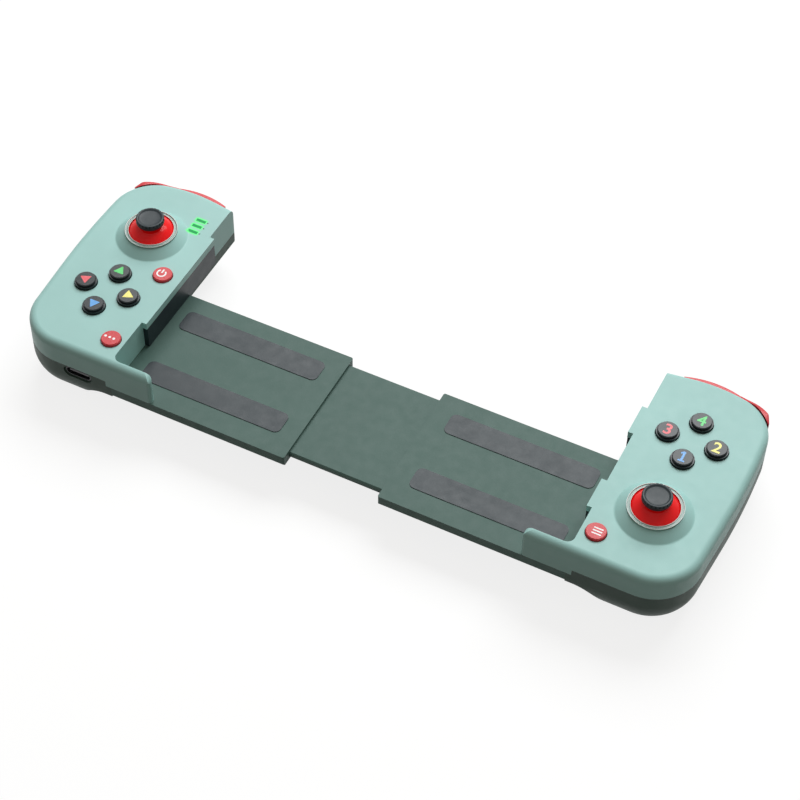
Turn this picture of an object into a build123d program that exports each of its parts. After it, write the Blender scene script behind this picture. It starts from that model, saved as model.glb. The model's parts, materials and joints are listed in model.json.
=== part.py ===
from build123d import *
import math
import os

# Game controller that clamps a phone between two grips joined by a sliding bridge.
# Millimetres. X runs along the controller, Y points away from the player and Z points up.
# The origin lies under the middle of the controller, on the surface that it rests on.
# A grip's pieces are drawn on the right-hand side and mirrored where they belong to the left.

# The phone that the rest pose holds, and how deep it lies below the grips' faces
PHONE_LENGTH = 146.7
PHONE_THICK = 7.4
PHONE_BELOW_FACE = 3.0

# Grip outline, seen from above: distances out from its inner wall and places along Y
DEPTH = 82.0
JAW_OUT = 1.65
GRIP_WIDTH = 36.9
FAR_CORNER_Y = 34.3
CREST_OUT = 15.0
CREST_RISE = 2.2
CREST_ROUND = 50.0
SHOULDER_IN = 1.3
SHOULDER_DROP = 1.3
SHOULDER_ROUND = 15.0
BULGE_Y = 3.0
BULGE_ROUND = 250.0
HEEL_IN = 2.9
HEEL_ROUND = 15.0

# Heights
FACE_Z = 24.0
SPLIT_Z = 15.6
PAD_PROUD = 0.2
PLATE_THICK = 3.9

# Moulded walls and gaps
WALL = 1.8
BACK_WALL = 2.0
FACE_ROUND = 2.4
BELLY_ROUND = 11.0
RUNNING_GAP = 0.05
SEAT_GAP = 0.03
PIECE_GAP = 0.2
OVERRUN = 5.0

# Near arm of each grip, which keeps the phone from sliding towards the player
ARM_LENGTH = 14.0
ARM_THICK = 2.5
ARM_END_ROUND = 1.0
ARM_TIP_ROUND = 2.6
POCKET_ROUND = 2.4

# Jaw tabs along the inner walls, as far and near ends along Y
LEFT_TABS = [(19.7, -21.5)]
RIGHT_TABS = [(17.4, 6.4), (-13.2, -24.1)]
TAB_LIP = 2.5
PAD_END_GAP = 0.3

# Controls on the faces: distances out from the inner wall and places along Y
STICK_OUT = 16.5
LEFT_STICK_Y = 11.8
RIGHT_STICK_Y = -17.8
CLUSTER_OUT = 16.4
LEFT_CLUSTER_Y = -14.9
RIGHT_CLUSTER_Y = 11.3
CLUSTER_ROUND = 7.65
SMALL_OUT = 4.5
POWER_Y = -1.6
SMALL_LOW_Y = -31.8
LIGHTS_OUT = 6.1
LIGHTS_Y = 22.1

# Round buttons
BUTTON_R = 3.5
BUTTON_STEP = 0.4
BUTTON_LOW_RISE = 0.9
BUTTON_RISE = 1.7
BUTTON_CHAMFER = 0.22
FLANGE_OUT = 0.8
FLANGE_THICK = 0.9
FOOT_R = 2.1
FOOT_DROP = 0.9
SMALL_R = 3.05
SMALL_RISE = 0.9

# Sticks
COLLAR_R = 11.35
COLLAR_TOP_R = 8.5
COLLAR_RISE = 2.5
COLLAR_ROUND = 0.8
RING_R = 8.3
RING_THICK = 0.75
RING_IN_LOW_R = 7.6
RING_IN_TOP_R = 7.12
RING_ROUND = 0.2
COLLAR_IN_TOP_R = 7.75
COLLAR_IN_LOW_R = 9.6
PIVOT_DROP = 2.5
SKIRT_R = 8.8
SKIRT_THICK = 0.9
SKIRT_RIM_ANGLE = 75.0
SKIRT_SHOULDER_ANGLE = 47.0
NECK_R = 2.2
SKIRT_TOP_RISE = 5.7
SKIRT_CROWN = 0.35
HUB_LOW_RISE = 0.6
CAP_R = 4.45
CAP_LOW_RISE = 6.2
CAP_THICK = 2.0
CAP_RIM = 0.9
CAP_DISH = 0.55
CAP_ROUND = 0.45
CAP_SOCKET = 1.2
SHAFT_R = 1.0
SHAFT_BELOW = 1.9

# Stick module: its tub, the ring-shaped yoke and the pivot block inside the yoke
TUB = 10.0
TUB_WALL = 0.8
TUB_RISE = 1.1
YOKE_X = 6.4
YOKE_Y = 5.6
YOKE_BAR = 0.95
YOKE_THICK = 1.6
YOKE_AXLE_R = 0.7
PIVOT_X = 3.5
PIVOT_Y = 3.2
PIVOT_AXLE_R = 0.5

# Boards, rubber domes and screws
BOARD_DROP = 6.6
BOARD_THICK = 1.0
BOARD_INSET = 3.4
BOARD_FAR_Y = 29.0
SHEET_THICK = 0.6
DOME_R = 2.3
DOME_TOP_SHARE = 0.8
SHEET_MARGIN = 1.2
SHEET_ROUND = 1.0
SCREW_PLACES = [(26.5, -32.3), (29.5, 21.6), (5.0, -24.4)]
SCREW_SEAT_Z = 11.0
SCREW_HEAD_R = 1.5
SCREW_HEAD_THICK = 1.0
SCREW_R = 0.8
SCREW_LONG = 9.5
WELL_R = 1.9
TOWER_R = 2.9
BOSS_R = 2.5
CHIP = 6.0
CHIP_THICK = 0.9
CHIP_OUT = 9.0
CHIP_Y = -4.0

# Belly of a grip: the scoop that rises to the bridge, and the hollow inside
SCOOP_OUT = 6.0
SCOOP_RUN = 10.8
SCOOP_ROUND = 10.0
FLOOR_ABOVE_PLATE = 1.7
DEEP_FLOOR_Z = 5.2
DEEP_INSET = 4.4
DEEP_IN = 13.8

# Bumpers
BUMPER_LOW_Z = 14.6
BUMPER_TOP_Z = 20.7
BUMPER_BACK = 1.7
BUMPER_ARC = [(4.4, 37.2), (18.5, 38.5), (32.2, 31.9)]
BUMPER_GAP = 0.3
BUMPER_TRAVEL = 0.7
BUMPER_ROUND = 0.6
POST_OUT = 17.5
POST_WIDE = 3.0
POST_END_Y = 30.6
POST_LOW_RISE = 0.6
POST_HIGH = 2.0
SWITCH_WIDE = 5.0
SWITCH_DEEP = 2.6
SWITCH_HIGH = 3.0
SWITCH_PIN_R = 0.8

# Triggers
TRIGGER_IN = 9.5
TRIGGER_LONG = 20.0
TRIGGER_GAP = 0.4
TRIGGER_TOP_Z = 12.9
TRIGGER_LOW_Z = 2.8
TRIGGER_EDGE = 2.6
TRIGGER_THICK = 2.6
TRIGGER_PROUD = 5.4
TRIGGER_ARM = 2.4
TRIGGER_ROUND = 0.5
HINGE_Y = 28.5
HINGE_Z = 11.0
HINGE_R = 1.0
HINGE_BOSS_R = 2.0
CHEEK = 1.8
WINDOW_Y = 34.4
WINDOW_LOW_Z = 4.2
SLOT_LOW_Z = 7.6
COIL_OUT = 12.0
COIL_LONG = 3.4
COIL_R = 1.75

# Bridge between the grips
BRIDGE_GAP = 31.0
BRIDGE_FAR_Y = 3.5
PLATE_CHAMFER = 0.7
PLATE_ROUND = 0.6
TONGUE_LONG = 10.0
TONGUE_SIDE = 8.5
SLEEVE_TOP = 0.9
SLEEVE_LOW = 0.7
SLEEVE_NEAR = 3.25
SLEEVE_FAR = 2.0
SLEEVE_LONG = 42.5
SLIDER_LONG = 83.0
SLIDER_GAP = 0.1
SLIDER_ROUND = 0.4
SPRING_PLACES = [-30.5, -5.5]
SPRING_R = 0.55
SPRING_BORE_R = 0.65
SPRING_START = 6.0
CABLE_Y = -17.0
CABLE_WIDE = 6.0
CABLE_THICK = 0.3
CABLE_GAP = 0.2
CABLE_REACH = 9.5

# Cradle pads on the bridge plates, as spans along Y
PAD_STRIPS = [(-33.6, -25.6), (-10.4, -2.4)]
PAD_THICK = 0.6
PAD_FROM_END = 6.0
PAD_FROM_GRIP = 5.0
PAD_CORNER = 2.0

# Battery, charging port and light guide in the left grip
BATTERY_WIDE = 16.0
BATTERY_LONG = 42.0
BATTERY_THICK = 5.6
BATTERY_Y = -3.5
BATTERY_ROUND = 1.6
PORT_OUT = 11.9
PORT_Z = 13.4
PORT_WIDE = 8.9
PORT_HIGH = 3.2
PORT_DEEP = 7.3
PORT_SHEET = 0.3
PORT_SET_IN = 0.5
PORT_TONGUE_WIDE = 6.7
PORT_TONGUE_THICK = 0.7
PORT_RECESS_MARGIN = 0.5
PORT_RECESS_DEEP = 0.6
LIGHT_LONG = 3.2
LIGHT_WIDE = 1.0
LIGHT_PITCH = 2.65
LIGHT_BASE = 1.3
LIGHT_MARGIN = 0.8

# Worked out from the sizes above
NEAR_Y = -DEPTH / 2
TRIGGER_Y = DEPTH / 2
INNER_X = PHONE_LENGTH / 2 + JAW_OUT
COVER_IN_Z = FACE_Z - WALL
CRADLE_Z = FACE_Z - PHONE_BELOW_FACE - PHONE_THICK
PLATE_TOP_Z = CRADLE_Z - PAD_PROUD
PLATE_LOW_Z = PLATE_TOP_Z - PLATE_THICK
FLOOR_Z = PLATE_LOW_Z + FLOOR_ABOVE_PLATE
BOARD_TOP_Z = FACE_Z - BOARD_DROP
BOARD_LOW_Z = BOARD_TOP_Z - BOARD_THICK
PIVOT_Z = FACE_Z - PIVOT_DROP
RING_LOW_Z = FACE_Z + COLLAR_RISE
FLANGE_TOP_Z = COVER_IN_Z - PIECE_GAP
FOOT_Z = FLANGE_TOP_Z - FLANGE_THICK - FOOT_DROP
PLATE_END_X = BRIDGE_GAP / 2
SLEEVE_LOW_Z = PLATE_LOW_Z + SLEEVE_LOW
SLEEVE_TOP_Z = PLATE_TOP_Z - SLEEVE_TOP
SLIDER_LOW_Z = SLEEVE_LOW_Z + SLIDER_GAP
SLIDER_TOP_Z = SLEEVE_TOP_Z - SLIDER_GAP
SPRING_Z = (SLIDER_LOW_Z + SLIDER_TOP_Z) / 2
SLEEVE_NEAR_Y = NEAR_Y + SLEEVE_NEAR
SLEEVE_FAR_Y = BRIDGE_FAR_Y - SLEEVE_FAR
CABLE_LOW_Z = FLOOR_Z + CABLE_GAP / 2

GRIP_CORNERS = [
    (INNER_X, FAR_CORNER_Y),
    (INNER_X + CREST_OUT, FAR_CORNER_Y + CREST_RISE),
    (INNER_X + GRIP_WIDTH - SHOULDER_IN, FAR_CORNER_Y - SHOULDER_DROP),
    (INNER_X + GRIP_WIDTH, BULGE_Y),
    (INNER_X + GRIP_WIDTH - HEEL_IN, NEAR_Y),
    (INNER_X, NEAR_Y),
]
GRIP_ROUNDS = [0, CREST_ROUND, SHOULDER_ROUND, BULGE_ROUND, HEEL_ROUND, 0]


def block(low, high):
    """Box between two opposite corners."""
    size = [top - bottom for bottom, top in zip(low, high)]
    return Pos(*low) * Box(*size, align=(Align.MIN, Align.MIN, Align.MIN))


def post(x, y, low, high, radius, top_radius=None):
    """Upright cylinder, or a cone where the top radius differs."""
    base = (Align.CENTER, Align.CENTER, Align.MIN)
    if top_radius is None:
        return Pos(x, y, low) * Cylinder(radius, high - low, align=base)
    return Pos(x, y, low) * Cone(radius, top_radius, high - low, align=base)


def bar_x(start, end, y, z, radius):
    """Cylinder along X."""
    base = (Align.CENTER, Align.CENTER, Align.MIN)
    return Pos(start, y, z) * Rot(0, 90, 0) * Cylinder(radius, end - start, align=base)


def bar_y(start, end, x, z, radius):
    """Cylinder along Y."""
    base = (Align.CENTER, Align.CENTER, Align.MIN)
    return Pos(x, start, z) * Rot(-90, 0, 0) * Cylinder(radius, end - start, align=base)


def prism(face, low, high):
    """Upright prism of a face drawn on the ground plane."""
    return extrude(Pos(0, 0, low) * face, amount=high - low, dir=(0, 0, 1))


def turned(edges, x, y):
    """Solid of revolution about the vertical through x and y, from edges given as radius and height."""
    return Pos(x, y, 0) * revolve(Plane.XZ * make_face(edges), axis=Axis.Z)


def rounded_slab(x0, x1, y0, y1, low, high, radius):
    """Flat slab with rounded corners."""
    corners = [(x0, y0), (x1, y0), (x1, y1), (x0, y1)]
    return prism(make_face(FilletPolyline(*corners, radius=radius, close=True)), low, high)


def inset_corners(corners, insets):
    """Corners of a clockwise outline after each side moves inwards by its own inset."""
    lines = []
    for index, (x, y) in enumerate(corners):
        next_x, next_y = corners[(index + 1) % len(corners)]
        long = math.hypot(next_x - x, next_y - y)
        along = ((next_x - x) / long, (next_y - y) / long)
        inward = (along[1] * insets[index], -along[0] * insets[index])
        lines.append((x + inward[0], y + inward[1], along))
    moved = []
    for index, (x, y, along) in enumerate(lines):
        back_x, back_y, back = lines[index - 1]
        cross = back[0] * along[1] - back[1] * along[0]
        reach = ((x - back_x) * along[1] - (y - back_y) * along[0]) / cross
        moved.append((back_x + reach * back[0], back_y + reach * back[1]))
    return moved


def grip_face(inset, inner_inset):
    """Outline of a grip, moved inwards by one inset outside and another at its inner wall."""
    outer_sides = len(GRIP_CORNERS) - 1
    corners = inset_corners(GRIP_CORNERS, [inset] * outer_sides + [inner_inset])
    rounds = [max(radius - inset, 0) if radius else 0 for radius in GRIP_ROUNDS]
    return make_face(FilletPolyline(*corners, radius=rounds, close=True))


def cover_face(tabs):
    """Outline of a front cover: the grip with its jaw tabs and its near arm."""
    arm_x = INNER_X - ARM_LENGTH
    arm_y = NEAR_Y + ARM_THICK
    corners = GRIP_CORNERS[:-1] + [(arm_x, NEAR_Y), (arm_x, arm_y), (INNER_X, arm_y)]
    rounds = GRIP_ROUNDS[:-1] + [0, ARM_END_ROUND, POCKET_ROUND]
    for far, near in reversed(tabs):
        corners += [(INNER_X, near), (INNER_X - JAW_OUT, near)]
        corners += [(INNER_X - JAW_OUT, far), (INNER_X, far)]
        rounds += [0, 0, 0, 0]
    return make_face(FilletPolyline(*corners, radius=rounds, close=True))


def cluster_places(cluster_y):
    """Places of four buttons set in a cross: far, right, near and left."""
    x = INNER_X + CLUSTER_OUT
    return [
        (x, cluster_y + CLUSTER_ROUND),
        (x + CLUSTER_ROUND, cluster_y),
        (x, cluster_y - CLUSTER_ROUND),
        (x - CLUSTER_ROUND, cluster_y),
    ]


def bumper_window():
    """Strip of wall that a bumper takes the place of, in both covers."""
    ring = grip_face(-OVERRUN, 0) - grip_face(BACK_WALL + BUMPER_GAP, 0)
    tall = prism(ring, BUMPER_LOW_Z - BUMPER_GAP, BUMPER_TOP_Z + BUMPER_GAP)
    start = INNER_X + BUMPER_ARC[0][0] - BUMPER_GAP
    end = INNER_X + BUMPER_ARC[-1][0] + BUMPER_GAP
    return tall & block((start, 0, 0), (end, DEPTH, FACE_Z))


def arm_tip_corner(plane, edge, radius, inward):
    """Waste outside a rounded corner at the arm's tip, drawn along X and one other axis."""
    tip = INNER_X - ARM_LENGTH
    square = Polyline((tip, edge), (tip + radius, edge), (tip, edge + inward * radius), close=True)
    arc = Pos(tip + radius, edge + inward * radius) * Circle(radius)
    return extrude(plane * (make_face(square) - arc), amount=DEPTH, both=True)


def front_cover(tabs, stick_y, buttons, smalls):
    """Upper half of a grip: face, walls, collar of the stick, jaw tabs and near arm."""
    cover = prism(cover_face(tabs), PLATE_TOP_Z, FACE_Z)
    rim = cover.edges().filter_by_position(Axis.Z, FACE_Z, FACE_Z)
    outside = [
        edge
        for edge in rim
        if edge.center().X > INNER_X + FACE_ROUND or edge.center().Y < NEAR_Y + SEAT_GAP
    ]
    cover = fillet(outside, FACE_ROUND)
    cover -= arm_tip_corner(Plane.XY, NEAR_Y, ARM_END_ROUND, 1)
    cover -= arm_tip_corner(Plane.XZ, FACE_Z, ARM_TIP_ROUND, -1)
    reach = INNER_X + GRIP_WIDTH + OVERRUN
    cover -= block((INNER_X + WALL, -DEPTH, 0), (reach, DEPTH, SPLIT_Z))
    cover -= prism(grip_face(WALL, WALL), 0, COVER_IN_Z)
    for far, near in tabs:
        cover -= block((0, near, 0), (INNER_X, far, FACE_Z - TAB_LIP))
    cover -= bumper_window()
    stick_x = INNER_X + STICK_OUT
    cover += post(stick_x, stick_y, FACE_Z, RING_LOW_Z, COLLAR_R, COLLAR_TOP_R)
    circles = cover.edges().filter_by(GeomType.CIRCLE).filter_by_position(Axis.Z, FACE_Z, FACE_Z)
    foot = circles.sort_by_distance((stick_x, stick_y, FACE_Z))[0]
    cover = fillet(foot, COLLAR_ROUND)
    cover -= post(stick_x, stick_y, COVER_IN_Z, RING_LOW_Z, COLLAR_IN_LOW_R, COLLAR_IN_TOP_R)
    for x, y in buttons:
        cover -= post(x, y, COVER_IN_Z - OVERRUN, FACE_Z + OVERRUN, BUTTON_R + PIECE_GAP)
    for x, y in smalls:
        cover -= post(x, y, COVER_IN_Z - OVERRUN, FACE_Z + OVERRUN, SMALL_R + PIECE_GAP)
    for out, y in SCREW_PLACES:
        cover += post(INNER_X + out, y, BOARD_TOP_Z, COVER_IN_Z, BOSS_R)
        cover -= post(INNER_X + out, y, 0, COVER_IN_Z, SCREW_R + SEAT_GAP)
    return cover


def light_places():
    """Places along Y of the bars of the battery lights."""
    return [LIGHTS_Y - LIGHT_PITCH, LIGHTS_Y, LIGHTS_Y + LIGHT_PITCH]


def light_slots(margin, low):
    """Three short bars through the left face."""
    x = INNER_X + LIGHTS_OUT
    half = LIGHT_LONG / 2 + margin
    wide = LIGHT_WIDE / 2 + margin
    bars = [block((x - half, y - wide, low), (x + half, y + wide, FACE_Z)) for y in light_places()]
    return bars[0] + bars[1] + bars[2]


def light_guide():
    """Clear guide under the left face with a bar in each slot."""
    x = INNER_X + LIGHTS_OUT
    half_x = LIGHT_LONG / 2 + LIGHT_MARGIN
    half_y = LIGHT_PITCH + LIGHT_WIDE / 2 + LIGHT_MARGIN
    low = (x - half_x, LIGHTS_Y - half_y, COVER_IN_Z - LIGHT_BASE)
    base = block(low, (x + half_x, LIGHTS_Y + half_y, COVER_IN_Z))
    return base + light_slots(0, COVER_IN_Z)


def belly():
    """Outer form of the lower half of a grip."""
    form = prism(grip_face(0, 0), 0, SPLIT_Z)
    low_edges = form.edges().filter_by_position(Axis.Z, 0, 0)
    outside = [edge for edge in low_edges if edge.center().X > INNER_X + SEAT_GAP]
    form = fillet(outside, BELLY_ROUND)
    start = INNER_X - OVERRUN
    flat_x = INNER_X + SCOOP_OUT + SCOOP_RUN
    end = flat_x + SCOOP_ROUND
    path = FilletPolyline(
        (start, PLATE_LOW_Z),
        (INNER_X + SCOOP_OUT, PLATE_LOW_Z),
        (flat_x, 0),
        (end, 0),
        radius=[SCOOP_ROUND, SCOOP_ROUND],
    )
    under = Polyline((end, 0), (end, -OVERRUN), (start, -OVERRUN), (start, PLATE_LOW_Z))
    scoop = Plane.XZ * make_face([*path.edges(), *under.edges()])
    return form - extrude(scoop, amount=DEPTH, both=True)


def back_cover(with_port):
    """Lower half of a grip: hollow belly with screw towers and the trigger's window."""
    form = belly()
    cover = form - prism(grip_face(BACK_WALL, WALL), FLOOR_Z, SPLIT_Z)
    deep = prism(grip_face(DEEP_INSET, WALL), DEEP_FLOOR_Z, SPLIT_Z)
    cover -= deep & block((INNER_X + DEEP_IN, -DEPTH, 0), (INNER_X + GRIP_WIDTH, DEPTH, SPLIT_Z))
    cover -= block((INNER_X - OVERRUN, -DEPTH, PLATE_TOP_Z), (INNER_X + WALL, DEPTH, SPLIT_Z))
    tongue_low = (INNER_X - OVERRUN, NEAR_Y + TONGUE_SIDE - PIECE_GAP, FLOOR_Z)
    tongue_high = (INNER_X + WALL, BRIDGE_FAR_Y - TONGUE_SIDE + PIECE_GAP, SPLIT_Z)
    cover -= block(tongue_low, tongue_high)
    for out, y in SCREW_PLACES:
        cover += post(INNER_X + out, y, 0, SPLIT_Z, TOWER_R) & form
        cover += post(INNER_X + out, y, SCREW_SEAT_Z, BOARD_LOW_Z, TOWER_R)
        cover -= post(INNER_X + out, y, -OVERRUN, SCREW_SEAT_Z, WELL_R)
        cover -= post(INNER_X + out, y, 0, FACE_Z, SCREW_R + PIECE_GAP)
    inner_x = INNER_X + TRIGGER_IN - TRIGGER_GAP
    outer_x = INNER_X + TRIGGER_IN + TRIGGER_LONG + TRIGGER_GAP
    for x in (inner_x - CHEEK, outer_x):
        low = (x, HINGE_Y - HINGE_BOSS_R, DEEP_FLOOR_Z)
        high = (x + CHEEK, HINGE_Y + HINGE_BOSS_R, HINGE_Z + HINGE_BOSS_R)
        cover += block(low, high) & form
    pin_x = (inner_x - CHEEK, outer_x + CHEEK)
    cover -= bar_x(pin_x[0] - OVERRUN, pin_x[1], HINGE_Y, HINGE_Z, HINGE_R + SEAT_GAP)
    top_z = TRIGGER_TOP_Z + PIECE_GAP
    cover -= block((inner_x, WINDOW_Y, WINDOW_LOW_Z), (outer_x, DEPTH, top_z))
    slot_y = HINGE_Y - HINGE_BOSS_R - PIECE_GAP
    cover -= block((inner_x, slot_y, SLOT_LOW_Z), (outer_x, DEPTH, top_z))
    cover -= bumper_window()
    if with_port:
        cover -= port_prism(PIECE_GAP, NEAR_Y - OVERRUN, NEAR_Y + BACK_WALL + OVERRUN)
        cover -= port_prism(PORT_RECESS_MARGIN, NEAR_Y - OVERRUN, NEAR_Y + PORT_RECESS_DEEP)
    return cover


def port_prism(margin, start, end):
    """Stadium-shaped prism along Y around the charging port."""
    wide = PORT_WIDE + 2 * margin
    high = PORT_HIGH + 2 * margin
    shape = Plane.XZ * (Pos(INNER_X + PORT_OUT, PORT_Z) * SlotOverall(wide, high))
    return Pos(0, start, 0) * extrude(shape, amount=end - start, dir=(0, 1, 0))


def charge_port():
    """Charging socket: folded metal shell, contact tongue and the foot under the board."""
    front = NEAR_Y + PORT_SET_IN
    back = front + PORT_DEEP
    socket = port_prism(0, front, back)
    socket -= port_prism(-PORT_SHEET, front - OVERRUN, back - PORT_SHEET)
    x = INNER_X + PORT_OUT
    half = PORT_TONGUE_WIDE / 2
    low = (x - half, front + PORT_SET_IN, PORT_Z - PORT_TONGUE_THICK / 2)
    socket += block(low, (x + half, back, PORT_Z + PORT_TONGUE_THICK / 2))
    foot_z = PORT_Z + PORT_HIGH / 2 - PORT_SHEET
    return socket + block((x - half, front + WALL, foot_z), (x + half, back, BOARD_LOW_Z))


def battery():
    """Flat pouch cell on the deep floor of the left belly."""
    far_x = INNER_X + DEEP_IN + PIECE_GAP
    half = BATTERY_LONG / 2
    low_y = BATTERY_Y - half
    high_y = BATTERY_Y + half
    top_z = DEEP_FLOOR_Z + BATTERY_THICK
    return rounded_slab(
        far_x, far_x + BATTERY_WIDE, low_y, high_y, DEEP_FLOOR_Z, top_z, BATTERY_ROUND
    )


def button(x, y):
    """Round button: stepped cap, flange that holds it in and foot on the rubber dome."""
    low_z = FLANGE_TOP_Z - FLANGE_THICK
    step_z = FACE_Z + BUTTON_LOW_RISE
    top_z = FACE_Z + BUTTON_RISE
    cap = post(x, y, low_z, FLANGE_TOP_Z, BUTTON_R + FLANGE_OUT)
    cap += post(x, y, FLANGE_TOP_Z, step_z, BUTTON_R)
    upper = post(x, y, step_z, top_z, BUTTON_R - BUTTON_STEP)
    upper = chamfer(upper.edges().group_by(Axis.Z)[-1], BUTTON_CHAMFER)
    return cap + upper + post(x, y, FOOT_Z, low_z, FOOT_R)


def small_button(x, y):
    """Low round button with a foot and with a flange cut flat along the inner wall."""
    low_z = FLANGE_TOP_Z - FLANGE_THICK
    top = post(x, y, FLANGE_TOP_Z, FACE_Z + SMALL_RISE, SMALL_R)
    top = chamfer(top.edges().group_by(Axis.Z)[-1], BUTTON_CHAMFER)
    flange = post(x, y, low_z, FLANGE_TOP_Z, SMALL_R + FLANGE_OUT)
    flange &= block((INNER_X + WALL + PIECE_GAP, -DEPTH, 0), (x + DEPTH, DEPTH, FACE_Z))
    top += post(x, y, low_z, FLANGE_TOP_Z, SMALL_R)
    return top + flange + post(x, y, FOOT_Z, low_z, FOOT_R)


def membrane(groups):
    """Rubber sheets on the board with a dome under each button, one sheet for each group."""
    sheets = []
    top_z = BOARD_TOP_Z + SHEET_THICK
    reach = DOME_R + SHEET_MARGIN
    for places in groups:
        xs = [x for x, y in places]
        ys = [y for x, y in places]
        low_x = max(min(xs) - reach, INNER_X + WALL + PIECE_GAP)
        limits = (low_x, max(xs) + reach, min(ys) - reach, max(ys) + reach)
        sheets.append(rounded_slab(*limits, BOARD_TOP_Z, top_z, SHEET_ROUND))
        sheets += [post(x, y, top_z, FOOT_Z, DOME_R, DOME_R * DOME_TOP_SHARE) for x, y in places]
    rubber = sheets[0].fuse(*sheets[1:])
    for out, y in SCREW_PLACES:
        rubber -= post(INNER_X + out, y, 0, FACE_Z, BOSS_R + PIECE_GAP)
    return rubber


def board():
    """Circuit board with a shoulder switch, a chip and its screw holes."""
    face = grip_face(BOARD_INSET, BOARD_INSET)
    plate = prism(face, BOARD_LOW_Z, BOARD_TOP_Z)
    plate -= block((0, BOARD_FAR_Y, 0), (INNER_X + GRIP_WIDTH, DEPTH, FACE_Z))
    for out, y in SCREW_PLACES:
        plate -= post(INNER_X + out, y, 0, FACE_Z, SCREW_R + PIECE_GAP)
    x = INNER_X + POST_OUT
    half = SWITCH_WIDE / 2
    switch_top = BOARD_TOP_Z + SWITCH_HIGH
    plate += block(
        (x - half, BOARD_FAR_Y - SWITCH_DEEP, BOARD_TOP_Z), (x + half, BOARD_FAR_Y, switch_top)
    )
    pin_z = BOARD_TOP_Z + POST_LOW_RISE + POST_HIGH / 2
    pin_end = POST_END_Y - BUMPER_TRAVEL - SEAT_GAP
    plate += bar_y(BOARD_FAR_Y, pin_end, x, pin_z, SWITCH_PIN_R)
    chip_x = INNER_X + CHIP_OUT
    low = (chip_x, CHIP_Y, BOARD_LOW_Z - CHIP_THICK)
    return plate + block(low, (chip_x + CHIP, CHIP_Y + CHIP, BOARD_LOW_Z))


def stick_ring(x, y):
    """Bright trim ring on the top of a stick's collar."""
    top_z = RING_LOW_Z + RING_THICK
    edges = Polyline(
        (RING_IN_LOW_R, RING_LOW_Z),
        (RING_R, RING_LOW_Z),
        (RING_R, top_z - RING_ROUND),
        (RING_R - RING_ROUND, top_z),
        (RING_IN_TOP_R + RING_ROUND, top_z),
        (RING_IN_TOP_R, top_z - RING_ROUND),
        close=True,
    )
    return turned(edges, x, y)


def stick_tub(x, y):
    """Open tub of the stick module, with bearing holes for the yoke."""
    half = TUB / 2
    inner = half - TUB_WALL
    top_z = PIVOT_Z + TUB_RISE
    tub = block((x - half, y - half, BOARD_TOP_Z), (x + half, y + half, top_z))
    low = (x - inner, y - inner, BOARD_TOP_Z + TUB_WALL)
    tub -= block(low, (x + inner, y + inner, top_z + OVERRUN))
    return tub - bar_x(x - TUB, x + TUB, y, PIVOT_Z, YOKE_AXLE_R + RUNNING_GAP)


def stick_yoke(x, y):
    """Ring-shaped yoke that turns about X in the tub."""
    half_x = YOKE_X / 2
    half_y = YOKE_Y / 2
    half_z = YOKE_THICK / 2
    yoke = block(
        (x - half_x, y - half_y, PIVOT_Z - half_z), (x + half_x, y + half_y, PIVOT_Z + half_z)
    )
    in_x = half_x - YOKE_BAR
    in_y = half_y - YOKE_BAR
    yoke -= block((x - in_x, y - in_y, 0), (x + in_x, y + in_y, FACE_Z))
    reach = TUB / 2 - RUNNING_GAP
    yoke += bar_x(x - reach, x - half_x, y, PIVOT_Z, YOKE_AXLE_R)
    yoke += bar_x(x + half_x, x + reach, y, PIVOT_Z, YOKE_AXLE_R)
    return yoke - bar_y(y - TUB, y + TUB, x, PIVOT_Z, PIVOT_AXLE_R + RUNNING_GAP)


def stick_pivot(x, y):
    """Pivot block that turns about Y in the yoke and guides the stick's shaft."""
    half_x = PIVOT_X / 2
    half_y = PIVOT_Y / 2
    half_z = YOKE_THICK / 2
    pivot = block(
        (x - half_x, y - half_y, PIVOT_Z - half_z), (x + half_x, y + half_y, PIVOT_Z + half_z)
    )
    reach = YOKE_Y / 2
    pivot += bar_y(y - reach, y - half_y, x, PIVOT_Z, PIVOT_AXLE_R)
    pivot += bar_y(y + half_y, y + reach, x, PIVOT_Z, PIVOT_AXLE_R)
    return pivot - post(x, y, 0, FACE_Z, SHAFT_R + RUNNING_GAP)


def stick_shaft(x, y):
    """Steel shaft from the pivot up into the cap."""
    top_z = FACE_Z + CAP_LOW_RISE + CAP_SOCKET
    return post(x, y, PIVOT_Z - SHAFT_BELOW, top_z, SHAFT_R)


def stick_skirt(x, y):
    """Glossy domed skirt that closes the collar, with the neck below the cap."""
    rim = math.radians(SKIRT_RIM_ANGLE)
    shoulder = math.radians(SKIRT_SHOULDER_ANGLE)
    middle = (rim + shoulder) / 2
    in_r = SKIRT_R - SKIRT_THICK

    def on_ball(radius, angle):
        return (radius * math.sin(angle), PIVOT_Z + radius * math.cos(angle))

    neck_z = FACE_Z + SKIRT_TOP_RISE
    top_z = FACE_Z + CAP_LOW_RISE
    side = ThreePointArc(on_ball(SKIRT_R, rim), on_ball(SKIRT_R, middle), on_ball(SKIRT_R, shoulder))
    start_x, start_z = on_ball(SKIRT_R, shoulder)
    crown = ((start_x + NECK_R) / 2, (start_z + neck_z) / 2 + SKIRT_CROWN)
    roof = ThreePointArc((start_x, start_z), crown, (NECK_R, neck_z))
    bore = SHAFT_R + SEAT_GAP
    in_x, in_z = on_ball(in_r, shoulder)
    hub_z = FACE_Z + HUB_LOW_RISE
    under_z = neck_z - SKIRT_THICK
    inside = Polyline(
        (NECK_R, neck_z),
        (NECK_R, top_z),
        (bore, top_z),
        (bore, hub_z),
        (NECK_R, hub_z),
        (NECK_R, under_z),
        (in_x, in_z),
    )
    lining = ThreePointArc((in_x, in_z), on_ball(in_r, middle), on_ball(in_r, rim))
    foot = Line(on_ball(in_r, rim), on_ball(SKIRT_R, rim))
    edges = [side, roof, *inside.edges(), lining, foot]
    return turned(edges, x, y)


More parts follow.
